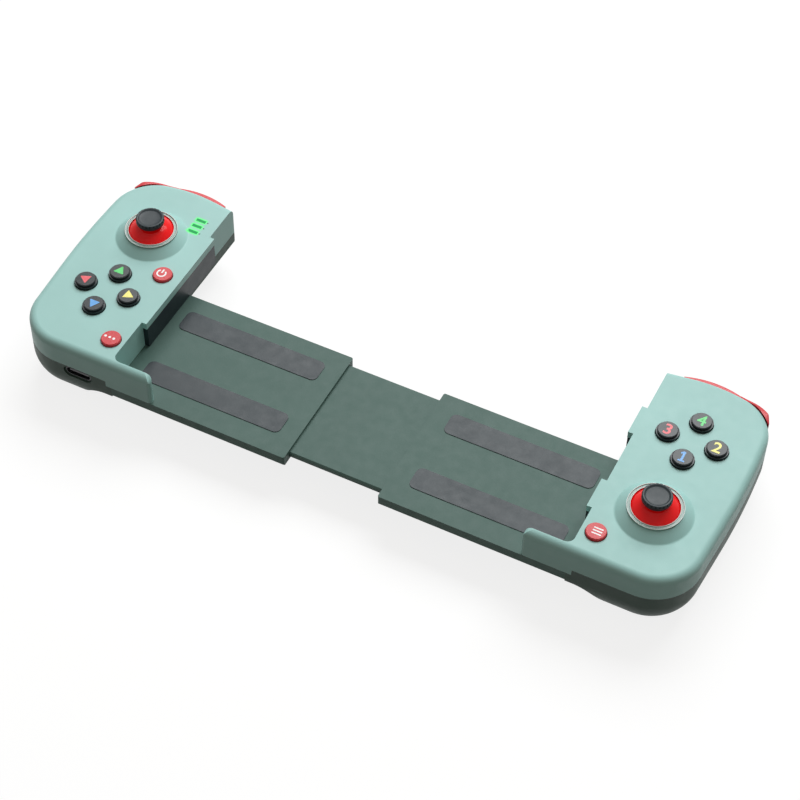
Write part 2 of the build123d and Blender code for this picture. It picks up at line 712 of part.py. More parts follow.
def stick_cap(x, y):
    """Thumb cap with a raised rim round a dished top."""
    low_z = FACE_Z + CAP_LOW_RISE
    top_z = low_z + CAP_THICK
    dish_r = CAP_R - CAP_RIM
    bore = SHAFT_R + SEAT_GAP
    edges = Polyline(
        (0, low_z + CAP_SOCKET),
        (bore, low_z + CAP_SOCKET),
        (bore, low_z),
        (CAP_R - CAP_ROUND, low_z),
        (CAP_R, low_z + CAP_ROUND),
        (CAP_R, top_z - CAP_ROUND),
        (CAP_R - CAP_ROUND, top_z),
        (dish_r, top_z),
        (dish_r - CAP_DISH, top_z - CAP_DISH),
        (0, top_z - CAP_DISH),
        close=True,
    )
    return turned(edges, x, y)


def bumper():
    """Shoulder bumper that follows the far corner of a grip and stands proud of it."""
    arc = [(INNER_X + out, y) for out, y in BUMPER_ARC]
    front = ThreePointArc(*arc)
    sides = Polyline(arc[-1], (arc[-1][0], 0), (arc[0][0], 0), arc[0])
    face = make_face([*front.edges(), *sides.edges()]) - grip_face(BUMPER_BACK, 0)
    strip = prism(face, BUMPER_LOW_Z, BUMPER_TOP_Z)
    strip &= block((INNER_X, 0, BUMPER_LOW_Z), (INNER_X + GRIP_WIDTH, DEPTH, BUMPER_TOP_Z))
    outer = strip.faces().sort_by(Axis.Y)[-1]
    strip = fillet(outer.edges(), BUMPER_ROUND)
    x = INNER_X + POST_OUT
    low_z = BOARD_TOP_Z + POST_LOW_RISE
    half = POST_WIDE / 2
    top_y = FAR_CORNER_Y
    return strip + block((x - half, POST_END_Y, low_z), (x + half, top_y, low_z + POST_HIGH))


def trigger():
    """Curved trigger lever on its hinge boss."""
    tall = TRIGGER_TOP_Z - TRIGGER_LOW_Z
    middle_z = TRIGGER_LOW_Z + tall / 2
    edge_y = TRIGGER_Y - TRIGGER_EDGE
    in_y = TRIGGER_Y - TRIGGER_THICK
    low_y = edge_y - TRIGGER_THICK
    arm_z = TRIGGER_TOP_Z - TRIGGER_ARM
    outer = ThreePointArc((edge_y, TRIGGER_TOP_Z), (TRIGGER_Y, middle_z), (edge_y, TRIGGER_LOW_Z))
    inner = ThreePointArc((low_y, TRIGGER_LOW_Z), (in_y, middle_z), (low_y, arm_z))
    arm = Polyline(
        (low_y, arm_z),
        (HINGE_Y, HINGE_Z - HINGE_BOSS_R),
        (HINGE_Y, HINGE_Z + HINGE_BOSS_R - PIECE_GAP),
        (edge_y, TRIGGER_TOP_Z),
    )
    lip = Line((edge_y, TRIGGER_LOW_Z), (low_y, TRIGGER_LOW_Z))
    face = Plane.YZ * make_face([outer, lip, inner, *arm.edges()])
    start = INNER_X + TRIGGER_IN
    end = start + TRIGGER_LONG
    lever = Pos(start, 0, 0) * extrude(face, amount=TRIGGER_LONG, dir=(1, 0, 0))
    long_edges = lever.edges().filter_by(Axis.X).group_by(Axis.Z)
    lever = fillet(long_edges[0] + long_edges[-1], TRIGGER_ROUND)
    lever += bar_x(start, end, HINGE_Y, HINGE_Z, HINGE_BOSS_R - PIECE_GAP)
    lever &= prism(grip_face(-TRIGGER_PROUD, -OVERRUN), 0, FACE_Z)
    lever -= bar_x(start - OVERRUN, end + OVERRUN, HINGE_Y, HINGE_Z, HINGE_R + RUNNING_GAP)
    coil_x = INNER_X + COIL_OUT
    reach = HINGE_BOSS_R + PIECE_GAP
    low = (coil_x - PIECE_GAP, HINGE_Y - reach, HINGE_Z - reach)
    return lever - block(low, (coil_x + COIL_LONG + PIECE_GAP, HINGE_Y + reach, HINGE_Z + reach))


def trigger_pin():
    """Steel pin of the trigger, held in the two cheeks."""
    start = INNER_X + TRIGGER_IN - TRIGGER_GAP - CHEEK
    end = INNER_X + TRIGGER_IN + TRIGGER_LONG + TRIGGER_GAP + CHEEK
    return bar_x(start, end, HINGE_Y, HINGE_Z, HINGE_R)


def trigger_spring():
    """Return spring round the trigger's pin, drawn as its sleeve."""
    start = INNER_X + COIL_OUT
    end = start + COIL_LONG
    sleeve = bar_x(start, end, HINGE_Y, HINGE_Z, COIL_R)
    return sleeve - bar_x(start - OVERRUN, end + OVERRUN, HINGE_Y, HINGE_Z, HINGE_R + SEAT_GAP)


def screws():
    """Screws that clamp the two covers on the board."""
    head_top = SCREW_SEAT_Z
    solids = []
    for out, y in SCREW_PLACES:
        x = INNER_X + out
        screw = post(x, y, head_top - SCREW_HEAD_THICK, head_top, SCREW_HEAD_R)
        screw += post(x, y, head_top, head_top + SCREW_LONG, SCREW_R)
        solids += screw.solids()
    return Compound(children=solids)


def jaw_pads(tabs):
    """Rubber pads under the jaw tabs, against which the phone's ends rest."""
    pads = []
    for far, near in tabs:
        low = (INNER_X - JAW_OUT, near + PAD_END_GAP, CRADLE_Z)
        pad = block(low, (INNER_X, far - PAD_END_GAP, FACE_Z - TAB_LIP))
        pads += pad.solids()
    return Compound(children=pads)


def pad_spans():
    """Start and end along X of the cradle pads on a bridge plate."""
    return PLATE_END_X + PAD_FROM_END, INNER_X - PAD_FROM_GRIP


def cradle_pads():
    """Thin rubber strips let into a bridge plate under the phone."""
    start, end = pad_spans()
    pads = []
    for near, far in PAD_STRIPS:
        pad = rounded_slab(start, end, near, far, CRADLE_Z - PAD_THICK, CRADLE_Z, PAD_CORNER)
        pads += pad.solids()
    return Compound(children=pads)


def bridge_plate():
    """Sleeve plate of a grip: the slider runs inside it and the phone lies on it."""
    plate = block((PLATE_END_X, NEAR_Y, PLATE_LOW_Z), (INNER_X, BRIDGE_FAR_Y, PLATE_TOP_Z))
    long_edges = plate.edges().filter_by(Axis.X)
    low_edges = long_edges.group_by(Axis.Z)[0]
    plate = chamfer(low_edges, PLATE_CHAMFER)
    mouth = plate.edges().filter_by(Axis.Z).group_by(Axis.X)[0]
    plate = fillet(mouth, PLATE_ROUND)
    tongue_low = (INNER_X, NEAR_Y + TONGUE_SIDE, FLOOR_Z)
    tongue_high = (INNER_X + TONGUE_LONG, BRIDGE_FAR_Y - TONGUE_SIDE, PLATE_TOP_Z)
    plate += block(tongue_low, tongue_high)
    for out, y in SCREW_PLACES:
        plate -= post(INNER_X + out, y, 0, FACE_Z, TOWER_R + PIECE_GAP)
    hollow_low = (PLATE_END_X - OVERRUN, SLEEVE_NEAR_Y, SLEEVE_LOW_Z)
    hollow_high = (PLATE_END_X + SLEEVE_LONG, SLEEVE_FAR_Y, SLEEVE_TOP_Z)
    plate -= block(hollow_low, hollow_high)
    half = CABLE_WIDE / 2 + CABLE_GAP
    slot_low = (PLATE_END_X, CABLE_Y - half, CABLE_LOW_Z - CABLE_GAP)
    slot_high = (INNER_X + OVERRUN + TONGUE_LONG, CABLE_Y + half, CABLE_LOW_Z + CABLE_THICK + CABLE_GAP)
    plate -= block(slot_low, slot_high)
    start, end = pad_spans()
    for near, far in PAD_STRIPS:
        low_z = CRADLE_Z - PAD_THICK
        plate -= rounded_slab(start, end, near, far, low_z, PLATE_TOP_Z + OVERRUN, PAD_CORNER)
    return plate


def bridge_slider():
    """Middle plate that both sleeve plates run on, bored for the springs and the cable."""
    half = SLIDER_LONG / 2
    near_y = SLEEVE_NEAR_Y + SLIDER_GAP
    far_y = SLEEVE_FAR_Y - SLIDER_GAP
    slider = block((-half, near_y, SLIDER_LOW_Z), (half, far_y, SLIDER_TOP_Z))
    slider = chamfer(slider.edges().filter_by(Axis.X), SLIDER_ROUND)
    for y in SPRING_PLACES:
        slider -= bar_x(SPRING_START, half + OVERRUN, y, SPRING_Z, SPRING_BORE_R)
        slider -= bar_x(-half - OVERRUN, -SPRING_START, y, SPRING_Z, SPRING_BORE_R)
    wide = CABLE_WIDE / 2 + CABLE_GAP
    slot_low = (-half - OVERRUN, CABLE_Y - wide, CABLE_LOW_Z - CABLE_GAP)
    slot_high = (half + OVERRUN, CABLE_Y + wide, CABLE_LOW_Z + CABLE_THICK + CABLE_GAP)
    return slider - block(slot_low, slot_high)


def bridge_springs():
    """Tension springs from the slider to the end of a sleeve, drawn as their outer form."""
    end = PLATE_END_X + SLEEVE_LONG
    springs = []
    for y in SPRING_PLACES:
        springs += bar_x(SPRING_START, end, y, SPRING_Z, SPRING_R).solids()
    return Compound(children=springs)


def ribbon_cable():
    """Flat cable that joins the boards of the two grips through the bridge."""
    reach = INNER_X + CABLE_REACH
    half = CABLE_WIDE / 2
    low = (-reach, CABLE_Y - half, CABLE_LOW_Z)
    return block(low, (reach, CABLE_Y + half, CABLE_LOW_Z + CABLE_THICK))


def save(name, shape, left=False):
    """Writes a piece, mirrored to the left grip where it belongs there."""
    export_step(mirror(shape, about=Plane.YZ) if left else shape, f"parts/{name}.step")


def save_stick(side, stick_y, left):
    """Writes the pieces of one stick."""
    x = INNER_X + STICK_OUT
    pieces = {
        "ring": stick_ring,
        "module": stick_tub,
        "yoke": stick_yoke,
        "pivot": stick_pivot,
        "shaft": stick_shaft,
        "skirt": stick_skirt,
        "cap": stick_cap,
    }
    for name, make in pieces.items():
        save(f"{side}_stick_{name}", make(x, stick_y), left)


def save_grip(side, tabs, stick_y, cluster_y, small_ys, left):
    """Writes the pieces that both grips have."""
    buttons = cluster_places(cluster_y)
    smalls = [(INNER_X + SMALL_OUT, y) for y in small_ys]
    cover = front_cover(tabs, stick_y, buttons, smalls)
    if left:
        cover -= light_slots(SEAT_GAP, COVER_IN_Z - OVERRUN)
    save(f"{side}_front_cover", cover, left)
    save(f"{side}_back_cover", back_cover(left), left)
    save(f"{side}_membrane", membrane([buttons] + [[place] for place in smalls]), left)
    save(f"{side}_board", board(), left)
    save(f"{side}_screws", screws(), left)
    save(f"{side}_jaw_pads", jaw_pads(tabs), left)
    save(f"{side}_bridge_plate", bridge_plate(), left)
    save(f"{side}_cradle_pads", cradle_pads(), left)
    save(f"{side}_bridge_springs", bridge_springs(), left)
    save(f"{side}_bumper", bumper(), left)
    save(f"{side}_trigger", trigger(), left)
    save(f"{side}_trigger_pin", trigger_pin(), left)
    save(f"{side}_trigger_spring", trigger_spring(), left)
    save_stick(side, stick_y, left)


def save_buttons(names, places, make, left):
    """Writes one button for each name."""
    for name, (x, y) in zip(names, places):
        save(name, make(x, y), left)


os.makedirs("parts", exist_ok=True)
SMALL_X = INNER_X + SMALL_OUT
save_grip("left", LEFT_TABS, LEFT_STICK_Y, LEFT_CLUSTER_Y, [POWER_Y, SMALL_LOW_Y], True)
save_grip("right", RIGHT_TABS, RIGHT_STICK_Y, RIGHT_CLUSTER_Y, [SMALL_LOW_Y], False)
DPAD_NAMES = ["dpad_up", "dpad_left", "dpad_down", "dpad_right"]
FACE_NAMES = ["face_button_far", "face_button_right", "face_button_near", "face_button_left"]
save_buttons(DPAD_NAMES, cluster_places(LEFT_CLUSTER_Y), button, True)
save_buttons(FACE_NAMES, cluster_places(RIGHT_CLUSTER_Y), button, False)
save("power_button", small_button(SMALL_X, POWER_Y), True)
save("select_button", small_button(SMALL_X, SMALL_LOW_Y), True)
save("start_button", small_button(SMALL_X, SMALL_LOW_Y))
save("light_guide", light_guide(), True)
save("charge_port", charge_port(), True)
save("battery", battery(), True)
save("bridge_slider", bridge_slider())
save("ribbon_cable", ribbon_cable())
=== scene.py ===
import json
import math

import bmesh
import bpy
from mathutils import Matrix, Vector


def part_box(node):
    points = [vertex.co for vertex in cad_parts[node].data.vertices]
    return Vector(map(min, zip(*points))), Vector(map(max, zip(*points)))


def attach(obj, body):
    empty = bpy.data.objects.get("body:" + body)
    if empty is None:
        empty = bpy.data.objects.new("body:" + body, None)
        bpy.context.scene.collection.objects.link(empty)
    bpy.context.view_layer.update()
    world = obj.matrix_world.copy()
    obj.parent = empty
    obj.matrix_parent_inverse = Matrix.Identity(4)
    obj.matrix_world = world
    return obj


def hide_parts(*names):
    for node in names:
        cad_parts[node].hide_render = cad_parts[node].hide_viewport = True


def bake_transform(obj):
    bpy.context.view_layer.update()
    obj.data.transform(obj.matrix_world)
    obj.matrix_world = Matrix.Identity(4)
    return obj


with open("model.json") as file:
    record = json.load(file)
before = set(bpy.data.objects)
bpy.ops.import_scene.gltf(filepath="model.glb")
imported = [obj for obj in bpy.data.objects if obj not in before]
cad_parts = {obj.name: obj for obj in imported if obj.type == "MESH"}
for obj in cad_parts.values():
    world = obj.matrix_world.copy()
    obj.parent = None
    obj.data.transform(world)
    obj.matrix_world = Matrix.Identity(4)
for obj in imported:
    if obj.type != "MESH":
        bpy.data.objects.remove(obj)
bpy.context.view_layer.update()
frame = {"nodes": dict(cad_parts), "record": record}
nodes = frame["nodes"]
scene = bpy.context.scene
MM = 0.001
SIDES = (("left", -1), ("right", 1))

# Camera, fitted to the photograph
CAMERA_PLACE = (0.18092, -0.36983, 0.48562)
CAMERA_AZIMUTH = math.radians(25.770)
CAMERA_ELEVATION = math.radians(49.379)
CAMERA_ROLL = math.radians(1.1727)
CAMERA_CLIP_START = 0.01
SENSOR = 36.0
FOCAL_PIXELS = 2061.27
PHOTO_PIXELS = 800

# Lamp, floor and surroundings
LAMP_PLACE = (-0.10, 0.84, 1.03)
LAMP_SIZE = (1.15, 0.80)
LAMP_WATTS = 17.5
LAMP_COLOR = (0.96, 0.99, 1.0)
FLOOR_SIZE = 6.0
FLOOR_BOUNCE = (0.12, 0.11, 0.10)
FLOOR_SHADED = (0.24, 0.24, 0.24)
FLOOR_GLOW = 0.82
ROOM_COLOR = (1.0, 0.90, 0.80)
ROOM_STRENGTH = 0.22
BACKDROP_COLOR = (1, 1, 1)
BACKDROP_STRENGTH = 1.0

# Colours, linear
MINT = (0.390, 0.655, 0.622)
DARK = (0.085, 0.150, 0.130)
# Darker copy of the dark plastic for the back covers: painted shade for the grips' underside
BELLY_PAINTED_SHADE = (0.060, 0.100, 0.082)
RED = (0.72, 0.050, 0.060)
RED_SKIRT = (0.90, 0.010, 0.012)
SMOKE = (0.010, 0.015, 0.018)
RUBBER = (0.010, 0.019, 0.024)
KEYPAD = (0.45, 0.47, 0.47)
# Near-white of the trim rings' lips: painted highlight
RING_LIP_HIGHLIGHT = (0.90, 0.95, 0.93)
RING_GROOVE = (0.22, 0.34, 0.30)
STEEL = (0.56, 0.56, 0.58)
# Darkened steel of the charge port: painted shade for its recess
PORT_PAINTED_SHADE = (0.10, 0.10, 0.105)
BOARD = (0.012, 0.13, 0.045)
FOIL = (0.62, 0.63, 0.65)
LENS = (0.01, 0.20, 0.06)
LENS_GLOW = (0.01, 0.45, 0.10)
# Emission colour of the red skirts: painted glow, as they hold no lamp
SKIRT_PAINTED_GLOW = (0.9, 0.0, 0.0)
WINDOW_GLOW = (0.02, 0.75, 0.10)
# Green tint over the mint round the indicator windows: painted glow
WINDOW_PAINTED_GLOW_TINT = (0.10, 0.55, 0.16)
WHITE = (0.90, 0.90, 0.90)
MARK_GREEN = (0.05, 0.60, 0.12)
MARK_RED = (0.75, 0.07, 0.09)
MARK_YELLOW = (0.85, 0.78, 0.16)
MARK_BLUE = (0.07, 0.32, 0.72)
TICK_DARK = (0.02, 0.12, 0.06)
# Black of the screws' cross recesses: painted shade
RECESS_PAINTED_SHADE = (0.008, 0.008, 0.008)

# Make-up of the procedural materials: middle range of a noise, and sizes in millimetres
NOISE_LOW = 0.3
NOISE_HIGH = 0.7
FLOW_MM = 22.0
SHEEN_MM = 3.0
SHEEN_BELOW = 0.04
SHEEN_ABOVE = 0.05
WAVE_MM = 9.0
WAVE_DEPTH_MM = 0.05
WAVE_STRENGTH = 0.25
FINE_GRAIN = {"grain_mm": 0.6, "grain_depth": 0.003}
BRUSH_MM = 0.12
BRUSH_DEPTH_MM = 0.01
BRUSH_STRENGTH = 0.6
BRUSH_SHEEN = 0.08
INK_MM = 1.2
INK_ROUGHNESS = 0.3
TRACK_SCALE = 400.0
TRACK_GAP = 0.06
TRACK_DEPTH_MM = 0.02
BOARD_ROUGHNESS = 0.3


def plan_of(node):
    """Centre of a node's box in plan, with the heights of its foot and its top."""
    low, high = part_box(node)
    return ((low.x + high.x) / 2, (low.y + high.y) / 2), low.z, high.z


def new_material(name):
    """Material with its node tree, shader and object coordinates."""
    material = bpy.data.materials.new(name)
    material.use_nodes = True
    tree = material.node_tree
    shader = tree.nodes["Principled BSDF"]
    place = tree.nodes.new("ShaderNodeTexCoord").outputs["Object"]
    return material, tree, shader, place


def parts_of(material):
    """Node tree, shader and object coordinates of a finished material."""
    tree = material.node_tree
    place = next(n for n in tree.nodes if n.type == "TEX_COORD").outputs["Object"]
    return tree, tree.nodes["Principled BSDF"], place


def noise(tree, place, size_mm, detail=2.0, roughness=0.5):
    """Noise whose features are about that many millimetres."""
    node = tree.nodes.new("ShaderNodeTexNoise")
    node.inputs["Scale"].default_value = 1 / (size_mm * MM)
    node.inputs["Detail"].default_value = detail
    node.inputs["Roughness"].default_value = roughness
    tree.links.new(place, node.inputs["Vector"])
    return node.outputs["Fac"]


def spread(tree, value, low, high):
    """The value's middle range, spread from low to high."""
    node = tree.nodes.new("ShaderNodeMapRange")
    node.inputs["From Min"].default_value = NOISE_LOW
    node.inputs["From Max"].default_value = NOISE_HIGH
    node.inputs["To Min"].default_value = low
    node.inputs["To Max"].default_value = high
    tree.links.new(value, node.inputs["Value"])
    return node.outputs["Result"]


def tinted(tree, factor, first, second):
    """Colour mixed from first to second by the factor."""
    node = tree.nodes.new("ShaderNodeMix")
    node.data_type = "RGBA"
    node.inputs["A"].default_value = (*first, 1)
    node.inputs["B"].default_value = (*second, 1)
    tree.links.new(factor, node.inputs["Factor"])
    return node.outputs["Result"]


def paint_over(tree, shader, factor, color):
    """Mix a colour over the shader's base colour by the factor."""
    under = shader.inputs["Base Color"].links[0].from_socket
    node = tree.nodes.new("ShaderNodeMix")
    node.data_type = "RGBA"
    node.inputs["B"].default_value = (*color, 1)
    tree.links.new(under, node.inputs["A"])
    tree.links.new(factor, node.inputs["Factor"])
    tree.links.new(node.outputs["Result"], shader.inputs["Base Color"])


def bump(tree, height, depth_mm, strength=1.0, under=None):
    """Surface normal raised by the height, over another normal where one is given."""
    node = tree.nodes.new("ShaderNodeBump")
    node.inputs["Strength"].default_value = strength
    node.inputs["Distance"].default_value = depth_mm * MM
    tree.links.new(height, node.inputs["Height"])
    if under is not None:
        tree.links.new(under, node.inputs["Normal"])
    return node.outputs["Normal"]


def computed(tree, operation, first, second):
    """Result of a maths node on a socket and a second socket or number."""
    node = tree.nodes.new("ShaderNodeMath")
    node.operation = operation
    tree.links.new(first, node.inputs[0])
    if isinstance(second, (int, float)):
        node.inputs[1].default_value = second
    else:
        tree.links.new(second, node.inputs[1])
    return node.outputs["Value"]


def vector_step(tree, operation, value, constant=None, output="Vector"):
    """Result of a vector maths node on a socket and, where one is given, a constant."""
    node = tree.nodes.new("ShaderNodeVectorMath")
    node.operation = operation
    tree.links.new(value, node.inputs[0])
    if constant is not None:
        node.inputs[1].default_value = constant
    return node.outputs[output]


def scaled(color, share):
    """Colour made lighter or darker by a share."""
    return tuple(min(1.0, channel * share) for channel in color)


def glow(material, color, strength):
    """Give a material an even emission."""
    shader = material.node_tree.nodes["Principled BSDF"]
    shader.inputs["Emission Color"].default_value = (*color, 1)
    shader.inputs["Emission Strength"].default_value = strength


def moulded(
    name, color, roughness, grain_mm=0.3, grain_depth=0.02, variation=0.04, specular=0.3
):
    """Moulded plastic or rubber: fine spark-eroded grain, faint flow marks and uneven sheen."""
    material, tree, shader, place = new_material(name)
    flow = spread(tree, noise(tree, place, FLOW_MM, 3.0), 0, 1)
    base = tinted(tree, flow, scaled(color, 1 - variation), scaled(color, 1 + variation))
    tree.links.new(base, shader.inputs["Base Color"])
    sheen = noise(tree, place, SHEEN_MM, 4.0)
    sheen = spread(tree, sheen, roughness - SHEEN_BELOW, roughness + SHEEN_ABOVE)
    tree.links.new(sheen, shader.inputs["Roughness"])
    grain = noise(tree, place, grain_mm, 2.0, 0.6)
    wave = noise(tree, place, WAVE_MM, 1.0)
    rolling = bump(tree, wave, WAVE_DEPTH_MM, WAVE_STRENGTH)
    tree.links.new(bump(tree, grain, grain_depth, 1.0, rolling), shader.inputs["Normal"])
    shader.inputs["Specular IOR Level"].default_value = specular
    return material


def metal(name, color, roughness, stretch=(40, 1, 1)):
    """Drawn or brushed metal whose fine lines run along the most stretched axis."""
    material, tree, shader, place = new_material(name)
    mapping = tree.nodes.new("ShaderNodeMapping")
    mapping.inputs["Scale"].default_value = [1 / s for s in stretch]
    tree.links.new(place, mapping.inputs["Vector"])
    lines = noise(tree, mapping.outputs["Vector"], BRUSH_MM, 3.0)
    base = tinted(tree, spread(tree, lines, 0, 1), scaled(color, 0.9), scaled(color, 1.08))
    tree.links.new(base, shader.inputs["Base Color"])
    sheen = spread(tree, lines, roughness - BRUSH_SHEEN, roughness + BRUSH_SHEEN)
    tree.links.new(sheen, shader.inputs["Roughness"])
    tree.links.new(bump(tree, lines, BRUSH_DEPTH_MM, BRUSH_STRENGTH), shader.inputs["Normal"])
    shader.inputs["Metallic"].default_value = 1.0
    return material


def laminate(name):
    """Circuit board: green mask over straight copper tracks."""
    material, tree, shader, place = new_material(name)
    brick = tree.nodes.new("ShaderNodeTexBrick")
    brick.inputs["Scale"].default_value = TRACK_SCALE
    brick.inputs["Mortar Size"].default_value = TRACK_GAP
    brick.inputs["Color1"].default_value = (*BOARD, 1)
    brick.inputs["Color2"].default_value = (*scaled(BOARD, 0.8), 1)
    brick.inputs["Mortar"].default_value = (*scaled(BOARD, 2.2), 1)
    tree.links.new(place, brick.inputs["Vector"])
    tree.links.new(brick.outputs["Color"], shader.inputs["Base Color"])
    tree.links.new(bump(tree, brick.outputs["Fac"], TRACK_DEPTH_MM), shader.inputs["Normal"])
    shader.inputs["Roughness"].default_value = BOARD_ROUGHNESS
    return material


def ink(name, color, strength=0.0):
    """Printed or moulded-in legend of one colour, or a flat painted shade, with an even painted
    glow where a strength is given.
    """
    material, tree, shader, place = new_material(name)
    flow = spread(tree, noise(tree, place, INK_MM, 3.0), 0, 1)
    base = tinted(tree, flow, scaled(color, 0.92), scaled(color, 1.05))
    tree.links.new(base, shader.inputs["Base Color"])
    shader.inputs["Roughness"].default_value = INK_ROUGHNESS
    glow(material, color, strength)
    return material


# Trim rings: lips painted near-white above this height as painted highlights, greyer groove below
# it
RING_SPLIT_Z = 27.1 * MM


def ring_with_painted_lip_highlights():
    """Plastic of the trim rings, with painted highlights on the lips above the split height."""
    material = moulded(
        "ring_plastic", RING_GROOVE, 0.25, **FINE_GRAIN, variation=0.03, specular=0.5
    )
    tree, shader, place = parts_of(material)
    apart = tree.nodes.new("ShaderNodeSeparateXYZ")
    tree.links.new(place, apart.inputs["Vector"])
    above = computed(tree, "GREATER_THAN", apart.outputs["Z"], RING_SPLIT_Z)
    # Painted highlight: the lips are painted near-white above the split height.
    paint_over(tree, shader, above, RING_LIP_HIGHLIGHT)
    return material


# Indicator lights of the left grip, set out from the light guide's box
LIGHT_PITCH = 2.65 * MM
WINDOW_HALF = (1.5 * MM, 0.45 * MM, 2 * MM)
# The windows' glow and its painted green tint fade out over this reach onto the mint.
GLOW_REACH = 1.1 * MM
GLOW_STRENGTH = 0.75
(light_x, light_y), _, light_top = plan_of("light_guide")
light_ys = [light_y + LIGHT_PITCH, light_y, light_y - LIGHT_PITCH]


def glow_mask(tree, place, centres, half, reach):
    """1 inside flat boxes at the centres, fading out over the reach."""
    total = None
    for centre in centres:
        away = vector_step(tree, "ABSOLUTE", vector_step(tree, "SUBTRACT", place, centre))
        beyond = vector_step(tree, "SUBTRACT", away, half)
        outside = vector_step(tree, "MAXIMUM", beyond, (0, 0, 0))
        distance = vector_step(tree, "LENGTH", outside, output="Value")
        fade = tree.nodes.new("ShaderNodeMapRange")
        fade.interpolation_type = "SMOOTHSTEP"
        fade.inputs["From Min"].default_value = 0
        fade.inputs["From Max"].default_value = reach
        fade.inputs["To Min"].default_value = 1
        fade.inputs["To Max"].default_value = 0
        tree.links.new(distance, fade.inputs["Value"])
        share = fade.outputs["Result"]
        total = share if total is None else computed(tree, "MAXIMUM", total, share)
    return total


def lit_mint():
    """Mint plastic of the left cover, glowing green in its windows for the lit indicators; the glow
    and a painted green glow tint fade out over the cover round each window.
    """
    material = moulded("mint_plastic_lit", MINT, 0.42)
    tree, shader, place = parts_of(material)
    centres = [(light_x, y, light_top) for y in light_ys]
    mask = glow_mask(tree, place, centres, WINDOW_HALF, GLOW_REACH)
    strength = computed(tree, "MULTIPLY", mask, GLOW_STRENGTH)
    shader.inputs["Emission Color"].default_value = (*WINDOW_GLOW, 1)
    tree.links.new(strength, shader.inputs["Emission Strength"])
    # Painted glow: green tint mixed over the mint in and round the windows.
    paint_over(tree, shader, mask, WINDOW_PAINTED_GLOW_TINT)
    return material


materials = {
    "mint_plastic": moulded("mint_plastic", MINT, 0.45),
    "dark_plastic": moulded("dark_plastic", DARK, 0.48, specular=0.2),
    "red_plastic": moulded(
        "red_plastic", RED, 0.28, grain_mm=0.6, grain_depth=0.004, variation=0.03
    ),
    "smoke_plastic": moulded(
        "smoke_plastic", SMOKE, 0.22, **FINE_GRAIN, variation=0.1, specular=0.36
    ),
    "ring_plastic": ring_with_painted_lip_highlights(),
    "clear_plastic": moulded(
        "clear_plastic", LENS, 0.35, **FINE_GRAIN, variation=0.1, specular=0.1
    ),
    "soft_rubber": moulded(
        "soft_rubber", RUBBER, 0.4, grain_mm=0.22, grain_depth=0.012, variation=0.12, specular=0.34
    ),
    "keypad_rubber": moulded("keypad_rubber", KEYPAD, 0.6, variation=0.05),
    "steel": metal("steel", STEEL, 0.32),
    "board_laminate": laminate("board_laminate"),
    "cell_foil": metal("cell_foil", FOIL, 0.4, stretch=(1, 8, 1)),
}
# Back covers get a darker copy of the dark plastic, painted shade for the underside of the grips.
belly_plastic_painted_shade = moulded("belly_plastic_painted_shade", BELLY_PAINTED_SHADE, 0.46, specular=0.2)
skirt_plastic = moulded(
    "skirt_plastic", RED_SKIRT, 0.14, grain_mm=0.8, grain_depth=0.003, variation=0.05, specular=0.15
)
# Charge port's shell: a darker copy of steel, painted shade for the port's recess.
port_metal_painted_shade = metal("port_metal_painted_shade", PORT_PAINTED_SHADE, 0.35)
# Faint even emission on the red skirts: painted glow that brightens their red.
glow(skirt_plastic, SKIRT_PAINTED_GLOW, 0.13)
glow(materials["clear_plastic"], LENS_GLOW, 0.4)
# White and coloured legends carry a faint even emission, painted glow; the dark ticks and the black
# recess marks none.
inks = {
    "white": ink("ink_white", WHITE, 0.1),
    "green": ink("ink_green", MARK_GREEN, 0.15),
    "red": ink("ink_red", MARK_RED, 0.15),
    "yellow": ink("ink_yellow", MARK_YELLOW, 0.15),
    "blue": ink("ink_blue", MARK_BLUE, 0.15),
    "dark": ink("ink_dark", TICK_DARK),
    # Flat black for the screws' cross recesses: painted shade, not print.
    "black": ink("recess_painted_shade", RECESS_PAINTED_SHADE),
}


def dress(piece, material):
    """Leave a piece with one material."""
    piece.data.materials.clear()
    piece.data.materials.append(material)


record_slots = {part["node"]: part["material_slot"] for part in frame["record"]["subparts"]}
for name, piece in nodes.items():
    dress(piece, materials[record_slots[name]])
dress(nodes["left_front_cover"], lit_mint())
dress(nodes["charge_port"], port_metal_painted_shade)
# Back covers take the darker plastic with painted shade; the stick skirts take the red with its
# painted glow.
for side, _ in SIDES:
    dress(nodes[f"{side}_back_cover"], belly_plastic_painted_shade)
    dress(nodes[f"{side}_stick_skirt"], skirt_plastic)

# How far a mark reaches into its face and stands over it
MARK_SINK = 0.05 * MM
MARK_RISE = 0.03 * MM
SHARP_ANGLE = math.radians(50)
MERGE_DISTANCE = 1e-7


def new_piece(name, mesh, material):
    """Object of one material from a mesh, which is freed."""
    data = bpy.data.meshes.new(name)
    mesh.to_mesh(data)
    mesh.free()
    piece = bpy.data.objects.new(name, data)
    scene.collection.objects.link(piece)
    dress(piece, material)
    return piece


def mark(name, mesh, body, material):
    """Piece from a mesh, riding on a body."""
    piece = new_piece(name, mesh, material)
    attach(piece, body)
    return piece


def slab(shapes, low, high):
    """Mesh of flat outlines, each raised from low to high."""
    mesh = bmesh.new()
    for outline in shapes:
        bottom = [mesh.verts.new((x, y, low)) for x, y in outline]
        top = [mesh.verts.new((x, y, high)) for x, y in outline]
        mesh.faces.new(top)
        mesh.faces.new(bottom[::-1])
        for first in range(len(outline)):
            second = (first + 1) % len(outline)
            mesh.faces.new((bottom[first], bottom[second], top[second], top[first]))
    bmesh.ops.recalc_face_normals(mesh, faces=mesh.faces)
    return mesh


def legend(name, shapes, top, body, material):
    """Thin mark of flat outlines on a face of that height."""
    return mark(name, slab(shapes, top - MARK_SINK, top + MARK_RISE), body, material)


